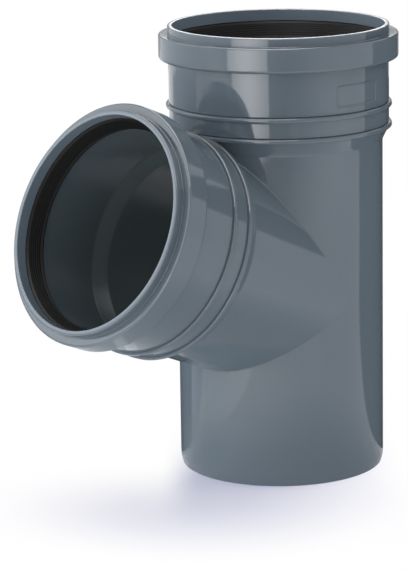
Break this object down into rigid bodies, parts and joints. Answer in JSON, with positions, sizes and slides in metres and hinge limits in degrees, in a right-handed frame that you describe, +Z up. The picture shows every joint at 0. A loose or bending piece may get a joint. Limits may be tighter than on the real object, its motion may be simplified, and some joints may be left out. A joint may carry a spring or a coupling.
{
  "type": "pipe tee",
  "caption": "Angled push-fit pipe tee: a straight run with a spigot below and a socket above, and a branch socket leaning from its side, each socket holding a rubber lip seal.",
  "frame": {"origin": "on the floor, in the middle of the part's bounding box; the run's axis is the vertical line at X = 0.04475 m", "axes": "+Z up the run from its spigot end to its socket; the branch leans towards -X in the XZ plane, 67.5 degrees from +Z; Y across the part, which is symmetric about the XZ plane"},
  "size_m": [0.2166, 0.127, 0.2385],
  "materials": {
    "grey_plastic": "glossy moulded blue-grey PVC-U",
    "black_rubber": "soft black rubber with fine ridges"
  },
  "bodies": {
    "root": {"tee_body": "grey_plastic", "run_seal": "black_rubber", "branch_seal": "black_rubber"}
  },
  "joints": []
}
